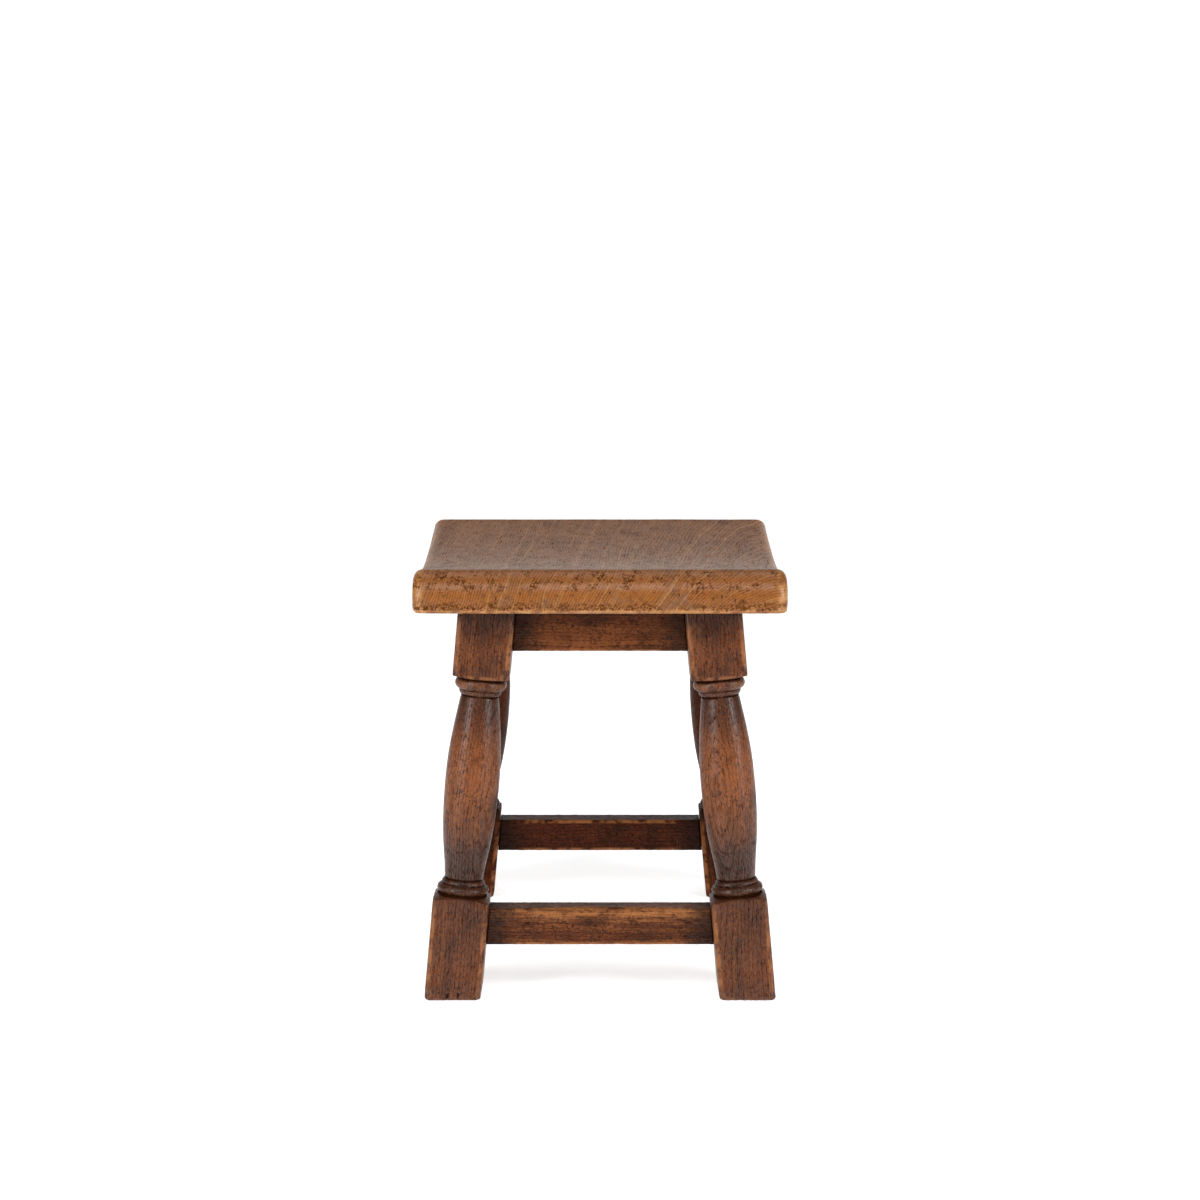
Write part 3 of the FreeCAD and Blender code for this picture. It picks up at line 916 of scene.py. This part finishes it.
# Darker tones for the rear legs and rails: painted shade, because the front legs and the seat keep the front
# lights off them
shaded_rear_tones = {
    **frame_tones, "deep": "#180A06", "stain": "#451D0E", "rubbed": "#522814", "light": "#6A3C1E",
    "bare_share": 0.60,
}
leg_ring_width = 3.2
rubbed_by_height = (
    (0.0, 0.30), (0.20, 0.25), (0.25, 0.20), (0.29, 0.02), (0.36, 0.15), (0.44, 0.80), (0.56, 1.0),
    (0.66, 0.70), (0.73, 0.15), (0.80, 0.10), (0.85, 0.45), (0.92, 0.45), (1.0, 0.0),
)
# Dirt along the leg; the last stop darkens the top of the leg under the seat, which is painted shade
dirt_and_shade_by_height = (
    (0.0, 0.40), (0.035, 0.25), (0.055, 0.05), (0.20, 0.20), (0.26, 0.50), (0.37, 0.85),
    (0.45, 0.15), (0.62, 0.0), (0.66, 0.20), (0.69, 0.50), (0.75, 0.60), (0.79, 0.25),
    (0.82, 0.25), (0.86, 0.08), (0.93, 0.15), (1.0, 0.9),
)


def by_height(tree, figure, stops):
    """A mask that follows the height on a leg, its limits ragged along the grain."""
    height = add(tree, "SeparateXYZ", {0: figure["local"]}).outputs[2]
    share = math_node(tree, "DIVIDE", height, leg_length / MM)
    ragged = math_node(tree, "MULTIPLY_ADD", figure["fibres"], 0.10, share)
    settled = math_node(tree, "SUBTRACT", ragged, 0.05)
    return add(tree, "ValToRGB", {"Fac": settled}, stops).outputs[0]


leg_piths = {
    "front_left": (70, -55, 1.2), "front_right": (-45, -80, 1.2),
    "rear_left": (60, 75, 1.2), "rear_right": (-85, 50, 1.2),
}
for corner, leg in legs.items():
    finish = waxed_oak(
        "waxed_oak_" + corner + "_leg", leg_frame(corner), leg_piths[corner], leg_ring_width,
        # The rear legs take the darker tones, which are painted shade
        shaded_rear_tones if corner.startswith("rear") else frame_tones,
        lambda tree, figure: by_height(tree, figure, rubbed_by_height),
        lambda tree, figure: by_height(tree, figure, dirt_and_shade_by_height),
        shine=0.05 if corner.startswith("rear") else 0.34,
    )
    leg.data.materials.clear()
    leg.data.materials.append(finish)
print("finished", len(legs), "legs")

# %% [markdown]
# ## The rails' finish
# The rails are the same oak. Their ends, close to the legs, are never rubbed and keep their dirt.
# The front stretcher is where feet rest: its top front arris is worn down to golden wood.
# The aprons are painted darker towards their tops, as shade under the seat, and the rear rails
# take the darker rear tones, also painted shade.

# %% Rails
rail_turns = {"front": 0, "right": 90, "rear": 180, "left": 270}
rail_ring_width = 2.6
tenon_length = 25
worn_tones = {**frame_tones, "rubbed": "#A1683E", "bare_share": 0.60}


def rail_frame(side, node):
    """A rail's own frame: Z along the rail, X outwards, Y up, origin at its middle."""
    low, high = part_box(node)
    along = Matrix.Rotation(math.radians(rail_turns[side]), 3, "Z")
    turn = Matrix((along @ Vector((0, -1, 0)), Vector((0, 0, 1)), along @ Vector((-1, 0, 0)))).transposed()
    return Matrix.Translation((low + high) / 2) @ turn.to_4x4()


def near_ends(tree, figure, half_length):
    """1 at the ends of a rail, 0 in its middle."""
    along = add(tree, "SeparateXYZ", {0: figure["local"]}).outputs[2]
    away = math_node(tree, "ABSOLUTE", along)
    ragged = math_node(tree, "MULTIPLY_ADD", figure["blotches"], 24.0, away)
    return product(tree, between(tree, ragged, half_length - 28, half_length + 10), 0.85)


def rail_finish(side, node):
    """Waxed oak for one rail."""
    low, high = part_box(node)
    half_length = max(high.x - low.x, high.y - low.y) / MM / 2 - tenon_length
    apron = node.endswith("apron")

    def rubbed(tree, figure):
        outwards, up, _ = add(tree, "SeparateXYZ", {0: figure["local"]}).outputs
        if apron:
            return product(tree, between(tree, up, 14.0, -14.0), 0.65)
        corner = math_node(tree, "ADD", outwards, up)
        streaky = math_node(tree, "MULTIPLY_ADD", figure["fibres"], 30.0, corner)
        return between(tree, streaky, 27.0 if side == "front" else 40.0, 46.0)

    def dirty_and_shaded(tree, figure):
        _, up, _ = add(tree, "SeparateXYZ", {0: figure["local"]}).outputs
        # On an apron the dirt fills the upper part, a painted shade under the seat; a stretcher gets a thin
        # dirty strip along its top
        above = between(tree, up, 8.0, 24.0)
        if not apron:
            above = product(tree, between(tree, up, 16.2, 17.6), 0.20)
        return math_node(tree, "MAXIMUM", near_ends(tree, figure, half_length), above)

    pith = (60 + 10 * rail_turns[side] / 90, -70, 1.2)
    # The rear rails take the darker tones, which are painted shade
    tones = shaded_rear_tones if side == "rear" else worn_tones if node == "front_stretcher" else frame_tones
    shine = 0.08 if side == "rear" else 0.16
    place = rail_frame(side, node)
    return waxed_oak("waxed_oak_" + node, place, pith, rail_ring_width, tones, rubbed, dirty_and_shaded, shine)


for node, rail in rails.items():
    rail.data.materials.clear()
    rail.data.materials.append(rail_finish(node.split("_")[0], node))
print("finished", len(rails), "rails")

# %% [markdown]
# ## The seat's finish
# The board is paler than the frame and has gone grey brown on top. The pith of its tree lay
# far below the board and to its right, and sank towards the rear, so the rings lean across the
# thickness and the dish cuts them into long bows that bend to the right. The front face is end
# grain with a golden polish, mottled dark above, and a light line along the lower arris. Its
# lighter band at mid height and its lighter ends are partly rubbed wear and partly a painted
# highlight of the front lights on the rounded face.

# %% Seat
seat_tones = {
    "deep": "#6C4834", "stain": "#8D6345", "rubbed": "#955B2C", "light": "#B1835E", "dirt_and_shade": "#1E0D06",
    "bare": "#C8925A", "tint": "#E8D897", "ring_contrast": 0.45, "year_contrast": 0.45,
    "spot_contrast": 0.35, "grain_contrast": 0.4, "bare_share": 0.50,
}
grain_slant = math.radians(3.0)
seat_pith = (-200, -110, -6.0)
seat_ring_width = 2.7


def seat_frame():
    """The seat's own frame: Z along the grain towards the rear, Y up, X to the left."""
    turn = Matrix(((-1, 0, 0), (0, 0, 1), (0, 1, 0)))
    middle = Vector((0, 0, (seat_low.z + seat_high.z) / 2))
    return Matrix.Translation(middle) @ Matrix.Rotation(-grain_slant, 4, "Z") @ turn.to_4x4()


def seat_places(tree, figure):
    """Distance from the middle, 1 on the outer faces and 0 on top, and height over the underside."""
    across, along, height = add(tree, "SeparateXYZ", {0: figure["world"]}).outputs
    away = math_node(tree, "ABSOLUTE", across)
    lip = between(tree, math_node(tree, "ABSOLUTE", along), 172.0, 182.0)
    above = math_node(tree, "SUBTRACT", height, seat_low.z / MM)
    return away, lip, above


def seat_rubbed(tree, figure):
    """The outer faces are rubbed most: in a band at mid height, at their ends, and below.
    The band and the ends are partly rubbed wear and partly a painted highlight.

    The mask goes past 1, so that the patches of the figure hardly break it up.
    """
    away, lip, above = seat_places(tree, figure)
    # A lighter band at mid height, lightest at the ends: partly wear, partly a painted highlight
    highlight_band = product(tree, between(tree, above, 10.0, 17.0), between(tree, above, 36.0, 26.0))
    highlit_ends = math_node(tree, "MULTIPLY_ADD", between(tree, away, 60.0, 130.0), 0.5, 0.5)
    arris = product(tree, between(tree, above, 3.6, 2.2), between(tree, above, 0.2, 1.0), 0.7)
    rubbed_band = math_node(tree, "MULTIPLY_ADD", product(tree, highlight_band, highlit_ends), 0.25, 0.72)
    return product(tree, lip, math_node(tree, "MAXIMUM", rubbed_band, arris), 1.5)


def seat_dirty(tree, figure):
    """Dirt sits under the board, in a line above the lower arris, and in blotches over the lips."""
    _, lip, above = seat_places(tree, figure)
    ragged = math_node(tree, "MULTIPLY_ADD", figure["blotches"], 26.0, above)
    settled = math_node(tree, "SUBTRACT", ragged, 13.0)
    below = between(tree, above, 1.0, 0.0)
    low_band = product(tree, between(tree, settled, 14.0, 9.0), between(tree, above, 3.0, 5.0))
    line = product(tree, low_band, between(tree, figure["mottle"], 0.28, 0.50))
    upper = product(
        tree, between(tree, settled, 18.0, 31.0), between(tree, figure["blotches"], 0.44, 0.56),
        between(tree, figure["mottle"], 0.38, 0.56)
    )
    fine = math_node(tree, "MULTIPLY_ADD", between(tree, figure["grain"], 0.44, 0.54), 0.3, 0.7)
    crisp = math_node(tree, "MULTIPLY_ADD", between(tree, figure["specks"], 0.46, 0.56), 0.75, 0.15)
    marks = product(tree, math_node(tree, "ADD", line, upper), lip, crisp, fine)
    return math_node(tree, "MAXIMUM", product(tree, below, 0.6), marks)


seat.data.materials.clear()
seat.data.materials.append(waxed_oak(
    "waxed_oak_seat", seat_frame(), seat_pith, seat_ring_width, seat_tones, seat_rubbed, seat_dirty,
    shine=0.24, relief=0.3, straight=2.5, wax=-0.9, gloss=1.6,
))
print("finished the seat")

# %% [markdown]
# ## Blocks and screws under the seat
# The rubbed glue blocks and the screws are only seen from below. Their shapes are right as
# they are, so the nodes stay and only get their materials: bare oak for the blocks, and
# steel that has gone dull and brown for the screws.

# %% Bare oak blocks
block_tones = {
    "deep": "#5E4029", "stain": "#7C5A3B", "rubbed": "#8C6844", "light": "#97754E", "dirt_and_shade": "#2C1B10",
    "bare": "#A88860", "tint": "#FFFFFF", "ring_contrast": 0.30, "year_contrast": 0.30,
    "spot_contrast": 0.40, "grain_contrast": 0.8, "bare_share": 0.50,
}
block_pith = (40, -30, 1.2)
block_ring_width = 3.0
for side in rail_turns:
    node = side + "_glue_block"
    block = frame["nodes"][node]
    finish = waxed_oak(
        "bare_oak_" + node, rail_frame(side, node), block_pith, block_ring_width, block_tones,
        lambda tree, figure: figure["mottle"], lambda tree, figure: product(tree, figure["blotches"], 0.4),
    )
    for slot in block.material_slots:
        slot.material = finish

# %% Dull steel screws
steel, steel_tree = new_material("rust_browned_steel")
steel_place = add(steel_tree, "Mapping", {
    "Vector": add(steel_tree, "TexCoord").outputs["Object"], "Scale": (1 / MM, 1 / MM, 1 / MM),
}).outputs[0]
rust = add(steel_tree, "TexNoise", {"Vector": steel_place, "Scale": 0.7, "Detail": 5.0}).outputs["Fac"]
rust_mask = between(steel_tree, rust, 0.42, 0.58)
steel_shader = add(steel_tree, "BsdfPrincipled", {
    "Base Color": layer(steel_tree, colour("#6E675F"), colour("#4A2E1E"), rust_mask),
    "Roughness": add(steel_tree, "MapRange", {"Value": rust, "To Min": 0.35, "To Max": 0.75}).outputs[0],
    "Metallic": 0.85,
    "Normal": add(steel_tree, "Bump", {"Height": rust, "Strength": 0.5, "Distance": 0.2 * MM}).outputs[0],
})
add(steel_tree, "OutputMaterial", {"Surface": steel_shader.outputs[0]})
for slot in frame["nodes"]["seat_screws"].material_slots:
    slot.material = steel
print("finished the blocks and screws")

# %% [markdown]
# ## Floor and light
# The stool stands on a white sweep, bright enough to lose its own horizon. The sweep is one
# plane whose far edge is extruded upwards and rounded. A tall soft light stands on each
# side of the camera, and each draws a long highlight on the turned legs. A wide one hangs in
# front, high up, where it lights the seat but isn't mirrored in its flat top, and a weak one
# overhead, a little behind, brings the soft shadow to the front.

# %% Sweep
sweep_size = 9.0
sweep_rise = 1.4
sweep_bend = 1.2
bpy.ops.object.select_all(action="DESELECT")
bpy.ops.mesh.primitive_plane_add(size=sweep_size)
sweep = bpy.context.object
sweep.name = "white_sweep"
bpy.ops.object.mode_set(mode="EDIT")
bpy.ops.mesh.select_mode(type="EDGE")
select_edges(sweep, lambda a, b: min(a.y, b.y) > 0)
bpy.ops.mesh.extrude_region_move(TRANSFORM_OT_translate={"value": (0, 0, sweep_rise)})
select_edges(sweep, lambda a, b: min(a.y, b.y) > 0 and max(a.z, b.z) < 1)
bpy.ops.mesh.bevel(offset=sweep_bend, segments=24, affect="EDGES")
bpy.ops.object.mode_set(mode="OBJECT")
bpy.ops.object.shade_smooth()
print("sweep with", len(sweep.data.polygons), "faces")

# %% White of the sweep
sweep_white, sweep_tree = new_material("matt_white_paper")
sweep_shader = add(sweep_tree, "BsdfPrincipled", {
    "Base Color": (0.80, 0.80, 0.80, 1), "Roughness": 0.9,
    "Emission Color": (1, 1, 1, 1), "Emission Strength": 0.71,
})
add(sweep_tree, "OutputMaterial", {"Surface": sweep_shader.outputs[0]})
sweep.data.materials.append(sweep_white)

# %% Lights
world = bpy.data.worlds.new("studio")
bpy.context.scene.world = world
world.use_nodes = True
world.node_tree.nodes["Background"].inputs["Color"].default_value = (1, 1, 1, 1)
world.node_tree.nodes["Background"].inputs["Strength"].default_value = 0.12


def soft_light(name, place, target, width, height, watts):
    """A soft box that faces a point."""
    light = bpy.data.lights.new(name, "AREA")
    light.shape = "RECTANGLE"
    light.size = width
    light.size_y = height
    light.energy = watts
    lamp = bpy.data.objects.new(name, light)
    bpy.context.scene.collection.objects.link(lamp)
    lamp.location = place
    lamp.rotation_euler = (Vector(target) - Vector(place)).to_track_quat("-Z", "Y").to_euler()


stool_middle = (0, 0, 0.25)
soft_light("left_soft_box", (-1.9, -1.7, 1.1), stool_middle, 0.8, 1.8, 45)
soft_light("right_soft_box", (2.0, -1.3, 1.1), stool_middle, 0.8, 1.8, 41)
soft_light("front_soft_box", (0, -1.7, 2.5), stool_middle, 2.0, 0.9, 27)
soft_light("overhead_soft_box", (0, 0.9, 2.6), stool_middle, 2.0, 1.6, 12)
bpy.context.scene.view_settings.view_transform = "Standard"
print("four soft boxes are lit")
